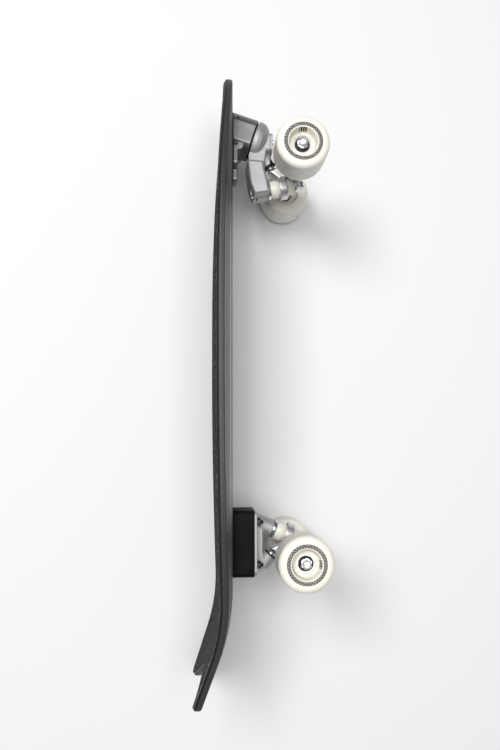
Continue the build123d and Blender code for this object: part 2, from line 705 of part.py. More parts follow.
for place_name, is_front in (("front", True), ("rear", False)):
    for side_name, side_y in (("left", WHEEL_CENTRE_Y), ("right", -WHEEL_CENTRE_Y)):
        axle_x = FRONT_AXLE_X if is_front else REAR_AXLE_X
        wheel_place = Pos(axle_x, side_y, AXLE_Z)
        bearing_starts = (-BEARING_GAP / 2 - BEARING_WIDTH, BEARING_GAP / 2)
        wheel = f"{place_name}_{side_name}_wheel"
        keep(f"{wheel}_tyre", wheel_place * make_tyre())
        keep(f"{wheel}_core", wheel_place * make_core())
        keep(f"{wheel}_outer_races", *[wheel_place * make_outer_race(start) for start in bearing_starts])
        balls = [ball for start in bearing_starts for ball in make_balls(start)]
        keep(f"{wheel}_balls", *[wheel_place * ball for ball in balls])


# ---------------------------------------------------------------- rear mount
def make_riser():
    half = RISER_LENGTH / 2
    body = rounded_plate(
        REAR_PLATE_X - half, REAR_PLATE_X + half, RISER_WIDTH, RISER_CORNER, PLATE_TOP_Z, DECK_Z
    )
    return drill(body, bolt_places(REAR_PLATE_X), BOLT_HOLE_RADIUS)


def seat_for_truck(body, front):
    """Cut the kingpin's hole and head pocket and the pivot cup's pocket into a casting."""
    place = truck_place(front)
    closed = PIVOT_NOSE_RADIUS + 2.0
    body -= place * KINGPIN.rod(KINGPIN_RADIUS, 0, KINGPIN_SEAT + 1)
    body -= place * KINGPIN.rod(KINGPIN_HEAD_RADIUS + LOOSE, KINGPIN_SEAT, 2 * KINGPIN_SEAT)
    below = PIVOT.rod(HOUSING_RADIUS + 3, -PIVOT_CUP_DEPTH - 30, -PIVOT_CUP_DEPTH)
    body -= place * below
    return body - place * PIVOT.rod(PIVOT_CUP_RADIUS, -PIVOT_CUP_DEPTH - 1, closed)


def make_rear_baseplate():
    half = PLATE_LENGTH / 2
    low = PLATE_TOP_Z - PLATE_THICKNESS
    plate = rounded_plate(
        REAR_PLATE_X - half, REAR_PLATE_X + half, PLATE_WIDTH, RISER_CORNER, low, PLATE_TOP_Z
    )
    place = truck_place(False)
    boss = place * KINGPIN.rod(BOSS_RADIUS, KINGPIN_FACE, KINGPIN_SEAT + 12)
    housing = place * PIVOT.rod(HOUSING_RADIUS, -PIVOT_CUP_DEPTH, HOUSING_LENGTH - PIVOT_CUP_DEPTH)
    arch_z = AXLE_Z + ARCH_RISE
    back = REAR_PLATE_X - half
    shoulder = side_prism(
        [
            (REAR_AXLE_X, low + 1),
            (REAR_AXLE_X, arch_z),
            (REAR_AXLE_X - 15.0, arch_z - 4.0),
            (REAR_AXLE_X - 20.0, arch_z - 4.0),
            (back, low),
            (back, low + 1),
        ],
        HOUSING_HALF_WIDTH,
    )
    arch = block(
        (REAR_AXLE_X - 2, -ARCH_HALF_WIDTH, arch_z), (REAR_AXLE_X + 32, ARCH_HALF_WIDTH, low + 1)
    )
    body = plate + (boss + housing + shoulder + arch & block((-300, -50, 0), (-100, 50, PLATE_TOP_Z)))
    body = seat_for_truck(body, False)
    return drill(body, bolt_places(REAR_PLATE_X), BOLT_HOLE_RADIUS)


def rear_nut(x, y):
    return Line3(x, 0, 0, 1).nut(DECK_NUT_FLATS, BOLT_RADIUS, rear_nut_z, rear_nut_z + DECK_NUT_HEIGHT)


keep("rear_riser_block", make_riser())
keep("rear_baseplate", make_rear_baseplate())
keep("rear_deck_nuts", *[Pos(0, y, 0) * rear_nut(x, y) for x, y in bolt_places(REAR_PLATE_X)])

# ---------------------------------------------------------------- front surf adapter
SWIVEL_X = FRONT_AXLE_X + SWIVEL_FROM_AXLE_X
SWIVEL_Z = AXLE_Z + SWIVEL_FROM_AXLE_Z
SWIVEL = Line3(SWIVEL_X, SWIVEL_Z, sin(radians(SWIVEL_TILT)), cos(radians(SWIVEL_TILT)))
FLANGE_X_LOW = SWIVEL_X - FLANGE_REAR
FLANGE_X_HIGH = FLANGE_X_LOW + FLANGE_LENGTH


def half_space(above):
    """A big box on one side of the seam between the fixed base and the swinging arm."""
    size = 300.0
    if above:
        return SWIVEL.plane(SEAM_HALF) * Box(size, size, size, align=ALIGN_UP)
    return SWIVEL.plane(-SEAM_HALF - size) * Box(size, size, size, align=ALIGN_UP)


def column(low, high):
    """The round column about the swivel, flattened on both sides, between two heights."""
    sides = block((0, -BASE_HALF_WIDTH, low), (2 * SWIVEL_X, BASE_HALF_WIDTH, high))
    return SWIVEL.rod(BASE_RADIUS, 0, 2 * DECK_Z) & sides


def flange_shape(low, high):
    """The outline shared by the base's flange and the pad on it, with the rear foot."""
    plate = rounded_plate(FLANGE_X_LOW, FLANGE_X_HIGH, FLANGE_WIDTH, RISER_CORNER, low, high)
    foot_start = FLANGE_X_LOW - FOOT_REACH
    foot = rounded_plate(foot_start, FLANGE_X_LOW + 12, 2 * FOOT_HALF_WIDTH, 5.0, low, high)
    return plate + foot + column(low, high)


def make_surf_base():
    low = BASE_TOP_Z - FLANGE_THICKNESS
    lug_z = BASE_TOP_Z - LUG_HEIGHT
    lug_x = FLANGE_X_HIGH - LUG_LENGTH
    lug = side_prism(
        [
            (FLANGE_X_HIGH, low + 1),
            (lug_x, low + 1),
            (lug_x, low),
            (lug_x + 0.8, low - 0.5 * (low - lug_z)),
            (lug_x + 2.6, low - 0.85 * (low - lug_z)),
            (lug_x + 5.0, lug_z),
            (FLANGE_X_HIGH, lug_z),
        ],
        FLANGE_WIDTH / 2,
    )
    body = flange_shape(low, BASE_TOP_Z) + lug + (column(0, BASE_TOP_Z) & half_space(True))
    body -= SWIVEL.rod(SHAFT_RADIUS, 0, 40)
    body -= SWIVEL.rod(SHAFT_HEAD_RADIUS + LOOSE, SHAFT_HEAD_AT, 60)
    body -= SWIVEL.tube(SPRING_CAVITY_RADIUS, SHAFT_HUB_RADIUS, 0, 2 * SEAM_GAP)
    body -= stop_pin()
    return drill_blind(body)


def make_dust_seal():
    """A felt ring filling the seam, with room for the stop pin."""
    outer = BASE_HALF_WIDTH - SEAL_INSET
    return SWIVEL.tube(outer, outer - SEAL_WIDTH, LOOSE - SEAM_HALF, SEAM_HALF) - stop_pin()


def drill_blind(body):
    for x, y in bolt_places(FRONT_PLATE_X):
        body -= upright(x, y, BOLT_RADIUS, base_bolt_end - 1, BASE_TOP_Z + 1)
    return body


def stop_pin():
    return SWIVEL.plane(-STOP_PIN_DEPTH) * Pos(STOP_PIN_PLACE, 0, 0) * Cylinder(
        STOP_PIN_RADIUS, 2 * STOP_PIN_DEPTH, align=ALIGN_UP
    )


def stop_slot():
    """The arc the pin may travel, a little wider than the swing so that the pin stays clear."""
    reach = STOP_PIN_RADIUS + 0.35
    spare = degrees(reach / STOP_PIN_PLACE)
    turn = SWIVEL_RANGE + spare
    depth = STOP_PIN_DEPTH + 1.0
    corners = [
        (STOP_PIN_PLACE - reach, 0, -depth),
        (STOP_PIN_PLACE + reach, 0, -depth),
        (STOP_PIN_PLACE + reach, 0, 0),
        (STOP_PIN_PLACE - reach, 0, 0),
    ]
    swept = revolve(make_face(Polyline(corners, close=True)), Axis.Z, 2 * turn)
    return SWIVEL.plane(0) * Rot(0, 0, -turn) * swept


def make_swing_arm():
    """Bell round the swivel, a block carrying the truck behind it."""
    bell = SWIVEL.turned(
        [
            (0, -SEAM_HALF),
            (BELL_RADIUS, -SEAM_HALF),
            (BELL_RADIUS, -6.7),
            (BELL_RADIUS - 1.8, -11.8),
            (BELL_RADIUS - 7.4, -16.8),
            (BELL_RADIUS - 15.8, -22.2),
            (0, -24.0),
        ]
    )
    place = truck_place(True)
    top_z = AXLE_Z + BLOCK_RISE
    end_x = FRONT_AXLE_X - BLOCK_END
    arch_z = top_z - 18.6
    body_block = side_prism(
        [
            (end_x, top_z - 6.0),
            (end_x + 3.4, top_z - 27.0),
            (end_x + 22.0, top_z - 23.4),
            (end_x + 36.0, arch_z - 1.0),
            (end_x + BLOCK_LENGTH, arch_z),
            (end_x + BLOCK_LENGTH + 1.5, top_z + 3.4),
            (end_x + 42.0, top_z + 3.4),
            (end_x + 16.0, top_z),
        ],
        BLOCK_HALF_WIDTH,
    )
    body_block = chamfer(body_block.faces().filter_by(Axis.Y).edges(), 2.5)
    neck_start = end_x + BLOCK_LENGTH - 8.0
    neck_end = SWIVEL_X - 8.0
    body_block += side_prism(
        [(neck_start, arch_z), (neck_end, arch_z - 5.0), (neck_end, top_z), (neck_start, top_z + 2.0)],
        NECK_HALF_WIDTH,
    )
    boss_trim = block((0, -50, 0), (400, 50, 2 * DECK_Z)) - place * KINGPIN.rod(60, 0, KINGPIN_FACE)
    housing = place * PIVOT.rod(HOUSING_RADIUS, -PIVOT_CUP_DEPTH, HOUSING_LENGTH)
    boss = place * KINGPIN.rod(BOSS_RADIUS, KINGPIN_FACE, KINGPIN_SEAT)
    floor_z = SWIVEL_Z - COVER_DROP + COVER_THICKNESS
    pan = cover_blank(floor_z, SWIVEL_Z - 8)
    hull = bell + pan + housing + boss + (body_block & half_space(False))
    hull = hull & half_space(False)
    hull -= block((0, -50, 0), (400, 50, floor_z))
    hull = seat_for_truck(hull, True)
    hull -= place * KINGPIN.rod(BUSHING_BELLY_RADIUS + 3, 0, KINGPIN_FACE)
    hull -= SWIVEL.rod(SHAFT_RADIUS + LOOSE, -40, 1)
    hull -= SWIVEL.rod(NEEDLE_BEARING_RADIUS, NEEDLE_BOTTOM, 1)
    hull -= SWIVEL.rod(THRUST_RADIUS + LOOSE, -60, LOWER_THRUST_AT + RUNNING)
    hull -= SWIVEL.tube(SPRING_CAVITY_RADIUS, SHAFT_HUB_RADIUS, -SPRING_CAVITY_DEPTH, 1)
    hull -= stop_slot()
    for x, y in cover_screw_places():
        hull -= upright(x, y, COVER_SCREW_RADIUS, 0, SWIVEL_Z - 16)
    return hull


def cover_screw_places():
    for y in (-COVER_SCREW_SPREAD, COVER_SCREW_SPREAD):
        yield SWIVEL_X - (COVER_REAR - COVER_FRONT) / 2, y


def cover_blank(low, high):
    x_low, x_high = SWIVEL_X - COVER_REAR, SWIVEL_X + COVER_FRONT
    return rounded_plate(x_low, x_high, 2 * COVER_HALF_WIDTH, 5.0, low, high)


def make_cover():
    low = SWIVEL_Z - COVER_DROP
    return drill(cover_blank(low, low + COVER_THICKNESS), cover_screw_places(), COVER_SCREW_RADIUS)


def cover_screw(x, y):
    low = SWIVEL_Z - COVER_DROP
    head = upright(x, y, COVER_SCREW_HEAD, low - 1.2, low)
    slot = Pos(x, y, low - 1.2) * Box(2 * COVER_SCREW_HEAD, 0.9, 1.0)
    return head + upright(x, y, COVER_SCREW_RADIUS, low, SWIVEL_Z - 17) - slot


def make_swivel_shaft():
    bottom = LOCK_NUT_TOP - LOCK_NUT_HEIGHT - 1.0
    head = SWIVEL.rod(SHAFT_HEAD_RADIUS, SHAFT_HEAD_AT, SHAFT_HEAD_AT + SHAFT_HEAD_HEIGHT)
    return head + SWIVEL.rod(SHAFT_RADIUS, bottom, SHAFT_HEAD_AT + 1)


def make_needle_bearing():
    return SWIVEL.tube(NEEDLE_BEARING_RADIUS, SHAFT_RADIUS + RUNNING, NEEDLE_BOTTOM, NEEDLE_TOP)


def make_thrust_washers():
    upper = SWIVEL.tube(THRUST_RADIUS, SHAFT_RADIUS, SEAM_HALF - THRUST_THICKNESS, SEAM_HALF)
    lower = SWIVEL.tube(THRUST_RADIUS, SHAFT_RADIUS, LOCK_NUT_TOP, LOWER_THRUST_AT)
    return upper, lower


def make_return_spring():
    """Torsion spring wound round the swivel's hub; it brings the arm back to the middle."""
    height = SPRING_PITCH * SPRING_TURNS
    path = Helix(SPRING_PITCH, height, SPRING_RADIUS)
    wire = Plane(path @ 0, z_dir=path % 0) * Circle(SPRING_WIRE_RADIUS)
    coil = sweep(wire, path)
    return SWIVEL.plane(-SPRING_CAVITY_DEPTH + SPRING_WIRE_RADIUS + LOOSE) * coil


keep("surf_base", make_surf_base())
pad = drill(flange_shape(BASE_TOP_Z, DECK_Z), bolt_places(FRONT_PLATE_X), BOLT_HOLE_RADIUS)
keep("front_pad", pad)
keep("swing_arm", make_swing_arm())
keep("swivel_cover", make_cover())
keep("swivel_cover_screws", *[cover_screw(x, y) for x, y in cover_screw_places()])
keep("swivel_shaft", make_swivel_shaft())
keep("swivel_needle_bearing", make_needle_bearing())
keep("swivel_thrust_washers", *make_thrust_washers())
keep("swivel_lock_nut", SWIVEL.nut(LOCK_NUT_FLATS, SHAFT_RADIUS, LOCK_NUT_TOP - LOCK_NUT_HEIGHT, LOCK_NUT_TOP))
keep("swivel_stop_pin", stop_pin())
keep("swivel_dust_seal", make_dust_seal())
keep("return_spring", make_return_spring())
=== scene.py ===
from math import cos, pi, radians, sin

import bmesh
import bpy
from mathutils import Matrix, Vector


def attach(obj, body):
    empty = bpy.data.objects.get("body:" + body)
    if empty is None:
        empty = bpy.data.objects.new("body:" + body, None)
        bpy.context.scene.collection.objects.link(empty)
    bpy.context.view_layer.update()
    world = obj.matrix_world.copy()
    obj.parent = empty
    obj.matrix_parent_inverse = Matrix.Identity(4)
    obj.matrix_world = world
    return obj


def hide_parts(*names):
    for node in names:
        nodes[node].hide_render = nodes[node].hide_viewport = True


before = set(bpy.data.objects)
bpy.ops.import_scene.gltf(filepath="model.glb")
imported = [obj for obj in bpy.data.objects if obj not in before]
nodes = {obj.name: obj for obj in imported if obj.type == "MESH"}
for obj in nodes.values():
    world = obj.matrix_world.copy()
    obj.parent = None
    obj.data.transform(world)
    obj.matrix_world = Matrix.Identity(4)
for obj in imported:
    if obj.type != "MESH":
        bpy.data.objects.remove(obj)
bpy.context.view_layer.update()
MM = 0.001

# ---------------------------------------------------------------- deck
# Seven maple veneers pressed into one curved board, stained grey-violet and rubbed black along
# the upper lip. The underside is lacquered grey with two pale racing stripes; it turns darker,
# to black, towards both ends, and the veneers' edge turns darker there too.


class Wire:
    """A shader value that is added, multiplied and compared like a number."""

    def __init__(self, finish, socket):
        self.finish = finish
        self.socket = socket

    def maths(self, operation, *values):
        return self.finish.node("ShaderNodeMath", {"operation": operation}, values)

    def __add__(self, other):
        return self.maths("ADD", self, other)

    __radd__ = __add__

    def __mul__(self, other):
        return self.maths("MULTIPLY", self, other)

    def __sub__(self, other):
        return self.maths("SUBTRACT", self, other)

    def __rsub__(self, other):
        return self.maths("SUBTRACT", other, self)

    def __truediv__(self, other):
        return self.maths("DIVIDE", self, other)

    def __gt__(self, other):
        return self.maths("GREATER_THAN", self, other)

    def __lt__(self, other):
        return self.maths("LESS_THAN", self, other)

    def __abs__(self):
        return self.maths("ABSOLUTE", self)

    def root(self):
        return self.maths("SQRT", self)

    def part(self):
        """What is left of the value after its whole number."""
        return self.maths("FRACT", self)

    def least(self, other):
        return self.maths("MINIMUM", self, other)

    def most(self, other):
        return self.maths("MAXIMUM", self, other)


class Finish:
    """A material: one Principled shader, with the nodes that vary it over a surface."""

    def __init__(self, name, **constants):
        self.material = bpy.data.materials.new(name)
        self.material.use_nodes = True
        self.tree = self.material.node_tree
        self.tree.nodes.clear()
        self.shader = self.tree.nodes.new("ShaderNodeBsdfPrincipled")
        output = self.tree.nodes.new("ShaderNodeOutputMaterial")
        self.tree.links.new(self.shader.outputs[0], output.inputs[0])
        for name, value in constants.items():
            self.shader.inputs[name.replace("_", " ")].default_value = value
        self.place = self.node("ShaderNodeTexCoord", {}, (), output="Object")
        self.x, self.y, self.z = self.split(self.place)

    def node(self, kind, settings, values, output=0):
        """Any node: its settings first, then its sockets by order or by name."""
        made = self.tree.nodes.new(kind)
        for key, value in settings.items():
            if key == "stops":
                self.set_stops(made.color_ramp, value)
            else:
                setattr(made, key, value)
        pairs = values.items() if isinstance(values, dict) else enumerate(values)
        for key, value in pairs:
            if isinstance(value, Wire):
                self.tree.links.new(value.socket, made.inputs[key])
            else:
                made.inputs[key].default_value = value
        return Wire(self, made.outputs[output])

    @staticmethod
    def set_stops(ramp, stops):
        while len(ramp.elements) < len(stops):
            ramp.elements.new(0.5)
        for element, (place, colour) in zip(ramp.elements, stops):
            element.position = place
            element.color = (*colour, 1)

    def split(self, vector):
        made = self.tree.nodes.new("ShaderNodeSeparateXYZ")
        self.tree.links.new(vector.socket, made.inputs[0])
        return [Wire(self, socket) for socket in made.outputs]

    def noise(self, scale, detail=3.0, stretch=None):
        place = self.place
        if stretch:
            place = self.node("ShaderNodeMapping", {}, {"Vector": place, "Scale": stretch})
        values = {"Vector": place, "Scale": scale, "Detail": detail}
        return self.node("ShaderNodeTexNoise", {}, values, output="Fac")

    def ramp(self, value, *stops):
        return self.node("ShaderNodeValToRGB", {"stops": stops}, {"Fac": value})

    def mix(self, share, low, high):
        low, high = [v if isinstance(v, Wire) else (*v, 1) for v in (low, high)]
        return self.node("ShaderNodeMix", {"data_type": "RGBA"}, {0: share, 6: low, 7: high}, output=2)

    def wire(self, **values):
        """Feed sockets of the shader."""
        for name, value in values.items():
            self.tree.links.new(value.socket, self.shader.inputs[name.replace("_", " ")])

    def bump(self, height, distance, strength=1.0):
        values = {"Strength": strength, "Distance": distance, "Height": height}
        self.wire(Normal=self.node("ShaderNodeBump", {}, values))


def cover(name, finish):
    """Give a sub-part its finish."""
    piece = nodes[name] if isinstance(name, str) else name
    piece.data.materials.clear()
    piece.data.materials.append(finish.material)
    return piece


def merged_copy(node, name):
    """A new mesh with a sub-part's faces joined up, ready for modifiers."""
    mesh = bpy.data.meshes.new(name)
    shell = bmesh.new()
    shell.from_mesh(nodes[node].data)
    bmesh.ops.remove_doubles(shell, verts=shell.verts, dist=0.01 * MM)
    bmesh.ops.dissolve_degenerate(shell, edges=shell.edges, dist=0.005 * MM)
    shell.to_mesh(mesh)
    shell.free()
    piece = bpy.data.objects.new(name, mesh)
    bpy.context.scene.collection.objects.link(piece)
    return piece


def baked(piece):
    """Turn a piece's modifiers into plain mesh."""
    bpy.context.view_layer.update()
    seen = piece.evaluated_get(bpy.context.evaluated_depsgraph_get())
    mesh = bpy.data.meshes.new_from_object(seen)
    piece.modifiers.clear()
    piece.data = mesh


def smooth_by_angle(mesh, degrees_sharp):
    mesh.shade_smooth()
    mesh.set_sharp_from_angle(angle=radians(degrees_sharp))


FLAT_HALF = 30 * MM
CONCAVE_RADIUS = 368.4 * MM
KICK_START = -265 * MM
KICK_RADIUS = 220 * MM
KICK_TURN = radians(21)
KICK_ARC = KICK_RADIUS * sin(KICK_TURN)
KICK_SLOPE = 0.384
DECK_UNDERSIDE = 115 * MM
DECK_THICK = 10.5 * MM
VENEERS = 7
STRIPE_Y = 88 * MM
STRIPE_HALF = 4.5 * MM
DARK_ENDS_MIDDLE = 15 * MM
DARK_ENDS_CLEAR = 150 * MM
DARK_ENDS_FADE = 60 * MM
DARK_ENDS_WANDER = 20 * MM
STRIPE_DEPTH = 0.4
PLY_START = 0.055
RUBBED_START = 0.66
FILED_START = 0.965

deck_finish = Finish("stained_maple", Coat_Weight=0.06, Coat_Roughness=0.25, Specular_IOR_Level=0.28)
f = deck_finish
off_flat = (abs(f.y) - FLAT_HALF).most(0.0)
dish = CONCAVE_RADIUS - (CONCAVE_RADIUS**2 - off_flat * off_flat).root()
past_kick = (KICK_START - f.x).most(0.0)
on_arc = past_kick.least(KICK_ARC)
kick = KICK_RADIUS - (KICK_RADIUS**2 - on_arc * on_arc).root()
kick = kick + (past_kick - KICK_ARC).most(0.0) * KICK_SLOPE
depth = (f.z - DECK_UNDERSIDE - dish - kick) / DECK_THICK
veneer = (depth * VENEERS).part()
glue = abs(veneer - 0.5) > 0.42
odd = ((depth * VENEERS / 2).part()) > 0.5
grain = f.noise(60.0, 6.0, stretch=(0.35, 4.0, 4.0))
fine = f.noise(900.0, 2.0, stretch=(0.08, 1.0, 1.0))
dark_ends_wander = (grain - 0.5) * DARK_ENDS_WANDER
# Darker towards both ends of the board: the veneers' edge by about half, the underside to black.
dark_ends = (abs(f.x - DARK_ENDS_MIDDLE) - DARK_ENDS_CLEAR + dark_ends_wander) / DARK_ENDS_FADE
dark_ends = dark_ends.most(0.0).least(1.0)
ply = f.mix(odd, (0.050, 0.044, 0.048), (0.086, 0.075, 0.080))
ply = f.mix(glue * 0.7, ply, (0.020, 0.018, 0.020))
ply = f.mix(grain * 0.4, ply, (0.115, 0.102, 0.100))
ply = f.mix(dark_ends * 0.55, ply, (0.016, 0.016, 0.016))
rubbed = f.ramp(fine, (0.35, (0.004, 0.004, 0.005)), (0.75, (0.014, 0.014, 0.015)))
filed = f.ramp(fine, (0.3, (0.05, 0.05, 0.045)), (0.7, (0.20, 0.20, 0.17)))
stripe = (abs(abs(f.y) - STRIPE_Y) < STRIPE_HALF) * (depth < STRIPE_DEPTH)
stain = f.mix(grain, (0.150, 0.150, 0.152), (0.235, 0.232, 0.226))
stain = f.mix(stripe, stain, (0.50, 0.50, 0.42))
stain = f.mix(dark_ends * 0.86, stain, (0.012, 0.012, 0.012))
edge_wander = (grain - 0.5) * 0.10
colour = f.mix((depth + edge_wander) > PLY_START, stain, ply)
colour = f.mix((depth + edge_wander) > RUBBED_START, colour, rubbed)
colour = f.mix((depth + edge_wander * 0.3) > FILED_START, colour, filed)
f.wire(Base_Color=colour, Roughness=0.38 + fine * 0.3)
f.bump(grain * 0.4 + fine * 0.3 + glue * -0.6, 0.12 * MM)

deck = merged_copy("deck", "pressed_deck")
smooth_by_angle(deck.data, 32)
cover(deck, deck_finish)
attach(deck, "board")
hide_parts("deck")

# ---------------------------------------------------------------- grip tape
# Coarse silicon carbide grit bonded to a thin sheet, pressed onto the whole top of the deck and
# trimmed just short of the lip, where the file has broken the grit into a paler line.
GRITS_PER_METRE = 1500.0

grip_finish = Finish("grip_grit", Specular_IOR_Level=0.12)
f = grip_finish
grain_cells = {"Vector": f.place, "Scale": GRITS_PER_METRE}
grit_share = f.split(f.node("ShaderNodeTexVoronoi", {}, grain_cells, output="Color"))[0]
cell = f.node("ShaderNodeTexVoronoi", {}, grain_cells, output="Distance")
scuff = f.noise(9.0, 5.0)
base = f.ramp(
    grit_share,
    (0.0, (0.010, 0.011, 0.012)),
    (0.80, (0.022, 0.024, 0.026)),
    (0.96, (0.24, 0.25, 0.25)),
)
base = f.mix((scuff - 0.45).most(0.0) * 0.7, base, (0.060, 0.062, 0.062))
f.wire(Base_Color=base, Roughness=0.95 - grit_share * 0.35)
f.bump(grit_share - cell, 0.35 * MM, 0.8)
cover("grip_tape", grip_finish)

# ---------------------------------------------------------------- wheels
# Soft cream urethane poured round a moulded core. The outer face carries a printed ring of
# black rope work, and a few plain tick marks in the dish.
WHEEL_RADIUS = 33 * MM
WHEEL_HALF = 25.5 * MM
CORE_FACE = 14 * MM
LIP = 6.75 * MM
AXLE_HEIGHT = 33 * MM
FRONT_AXLE = 277 * MM
REAR_AXLE = -225 * MM
WHEEL_Y = 95.5 * MM
ROPE_IN = 19.2 * MM
ROPE_OUT = 23.6 * MM
ROPE_TURNS = 36
OUTER_FACE_FROM = WHEEL_Y + 15.2 * MM
TICKS_IN, TICKS_OUT = 16.3 * MM, 17.5 * MM
TICKS_A_TURN = 88
TICKS_HALF_ARC = 0.13
BADGE_IN, BADGE_OUT = 15.5 * MM, 17.6 * MM
BADGE_BARS_A_TURN = 36
BADGE_HALF_ARC = 0.045
SIDE_LINES_IN, SIDE_LINES_OUT = 16.4 * MM, 18.8 * MM
SIDE_LINE_STEP = 0.8 * MM
SIDE_HALF_ARC = 0.10
WORN_TREAD_FROM = 32.4 * MM

def lathe(name, profile, centre, steps=128):
    """A closed ring turned about an axle from (radius, distance along) points."""
    shell = bmesh.new()
    rings = []
    for step in range(steps):
        turn = 2 * pi * step / steps
        ring = [
            shell.verts.new(Vector((r * cos(turn), along, r * sin(turn))) + centre)
            for r, along in profile
        ]
        rings.append(ring)
    count = len(profile)
    for step in range(steps):
        here, there = rings[step], rings[(step + 1) % steps]
        for k in range(count):
            m = (k + 1) % count
            shell.faces.new((here[k], here[m], there[m], there[k]))
    bmesh.ops.recalc_face_normals(shell, faces=shell.faces)
    mesh = bpy.data.meshes.new(name)
    shell.to_mesh(mesh)
    shell.free()
    piece = bpy.data.objects.new(name, mesh)
    bpy.context.scene.collection.objects.link(piece)
    return piece


def corner(centre_r, centre_y, radius, start, end, steps):
    """Points round a corner of a profile, between two angles in degrees."""
    turns = [radians(start + (end - start) * k / steps) for k in range(steps + 1)]
    return [(centre_r + radius * cos(t), centre_y + radius * sin(t)) for t in turns]


def tyre_profile():
    """Half of the section at a time: tread, lip, printed face, soft edge, dish, bore."""
    face_edge = 18.7 * MM
    half = [
        *[(WHEEL_RADIUS, share * (WHEEL_HALF - LIP)) for share in (0.25, 0.5, 0.75)],
        *corner(WHEEL_RADIUS - LIP, WHEEL_HALF - LIP, LIP, 0, 90, 10),
        *[(WHEEL_RADIUS - LIP - share * 5 * MM, WHEEL_HALF) for share in (0.4, 0.8)],
        *corner(face_edge, WHEEL_HALF - 1.2 * MM, 1.2 * MM, 90, 152, 4),
        (16.9 * MM, 21.6 * MM),
        (15.9 * MM, 17.4 * MM),
        (15.1 * MM, CORE_FACE + 0.05 * MM),
        (16.45 * MM, CORE_FACE + 0.04 * MM),
        (16.52 * MM, CORE_FACE - 0.4 * MM),
    ]
    other = [(r, -along) for r, along in half[::-1]]
    return [(WHEEL_RADIUS, 0), *half, (16.52 * MM, 0), *other]


def around_wheel(f):
    """Distance from the nearer axle and the turn about it, the same at both ends."""
    middle = (FRONT_AXLE + REAR_AXLE) / 2
    ahead = abs(f.x - middle) - (FRONT_AXLE - REAR_AXLE) / 2
    above = f.z - AXLE_HEIGHT
    distance = (ahead * ahead + above * above).root()
    turn = f.node("ShaderNodeMath", {"operation": "ARCTAN2"}, (ahead, above * -1.0)) / (2 * pi)
    at_rear = f.x < middle
    return distance, turn + at_rear * 0.25


urethane = Finish(
    "cream_urethane",
    Roughness=0.38,
    Subsurface_Weight=0.22,
    Subsurface_Radius=(1.0, 0.8, 0.5),
    Subsurface_Scale=4 * MM,
    Coat_Weight=0.15,
    Coat_Roughness=0.3,
)
f = urethane
distance, turn = around_wheel(f)
outer_face = abs(f.y) > OUTER_FACE_FROM
across = (distance - ROPE_IN) / (ROPE_OUT - ROPE_IN)
in_rope = (across > 0.0) * (across < 1.0) * outer_face
strand = (turn * ROPE_TURNS).part()
second = (turn * ROPE_TURNS + 0.5).part()
outer_eye = abs(strand - 0.5) + abs(across - 0.70) * 1.9 < 0.25
inner_eye = abs(second - 0.5) + abs(across - 0.30) * 1.9 < 0.25
eyes = outer_eye.most(inner_eye)
rope = in_rope * (1 - eyes)
dish_ring = (distance > TICKS_IN) * (distance < TICKS_OUT) * outer_face
dash = (turn * TICKS_A_TURN).part() > 0.45
dash_arc = abs((turn + 0.75).part() - 0.5) < TICKS_HALF_ARC
ticks = dish_ring * dash * dash_arc
badge_ring = (distance > BADGE_IN) * (distance < BADGE_OUT) * outer_face
badge_arc = abs((turn + 0.25).part() - 0.5) < BADGE_HALF_ARC
badge_bar = (turn * BADGE_BARS_A_TURN).part() > 0.28
badge = badge_ring * badge_arc * badge_bar
side_ring = (distance > SIDE_LINES_IN) * (distance < SIDE_LINES_OUT) * outer_face
side_arc = abs((turn * 2 + 0.5).part() - 0.5) < SIDE_HALF_ARC
lines = (distance / SIDE_LINE_STEP).part() < 0.24
side_lines = lines * side_arc * side_ring
cloud = f.noise(38.0, 4.0)
body = f.mix(cloud, (0.89, 0.86, 0.75), (0.93, 0.905, 0.82))
dirt = f.noise(140.0, 5.0)
on_tread = (distance > WORN_TREAD_FROM) * (dirt > 0.56)
body = f.mix(on_tread * 0.25, body, (0.58, 0.53, 0.43))
body = f.mix(side_lines * 0.5, body, (0.36, 0.33, 0.27))
ink = rope.most(ticks).most(badge)
worn_ink = ink * (0.88 + (dirt < 0.6) * 0.12)
f.wire(Base_Color=f.mix(worn_ink, body, (0.010, 0.009, 0.008)), Roughness=0.34 + dirt * 0.16)
f.bump(dirt * 0.4 + cloud * 0.4 - ink * 0.25, 0.06 * MM)

CORE_RIBS = 12

core_finish = Finish(
    "core_nylon",
    Roughness=0.5,
    Subsurface_Weight=0.1,
    Subsurface_Radius=(1.0, 0.8, 0.6),
    Subsurface_Scale=2 * MM,
)
f = core_finish
_, turn = around_wheel(f)
rib_and_painted_shade = abs((turn * CORE_RIBS).part() - 0.5) < 0.03
mottle = f.noise(300.0, 4.0)
tone = f.mix(mottle, (0.74, 0.70, 0.59), (0.84, 0.80, 0.70))
# The rib lines are painted darker, as painted shade along the ribs, and dip in the bump.
f.wire(Base_Color=f.mix(rib_and_painted_shade * 0.5, tone, (0.50, 0.46, 0.37)), Roughness=0.42 + mottle * 0.2)
f.bump(mottle * 0.4 - rib_and_painted_shade * 0.8, 0.15 * MM)

WHEELS = [
    (f"{end}_{side}_wheel", Vector((axle, way * WHEEL_Y, AXLE_HEIGHT)))
    for end, axle in (("front", FRONT_AXLE), ("rear", REAR_AXLE))
    for side, way in (("left", 1), ("right", -1))
]
for wheel, centre in WHEELS:
    tyre = lathe(f"{wheel}_urethane", tyre_profile(), centre)
    smooth_by_angle(tyre.data, 38)
    cover(tyre, urethane)
    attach(tyre, wheel)
    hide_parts(f"{wheel}_tyre")
    cover(f"{wheel}_core", core_finish)

# ---------------------------------------------------------------- bearings
# Standard 608 bearings, two to a wheel, behind black rubber shields with a fine moulded groove.
# The balls and inner rings are ground bright; spacers and speed rings are turned steel.
TURNED_LINES_PER_METRE = 9000.0
SHIELD_RADIUS = 9.35 * MM
GROOVE_RADIUS = 7.6 * MM
GROOVE_HALF = 0.35 * MM


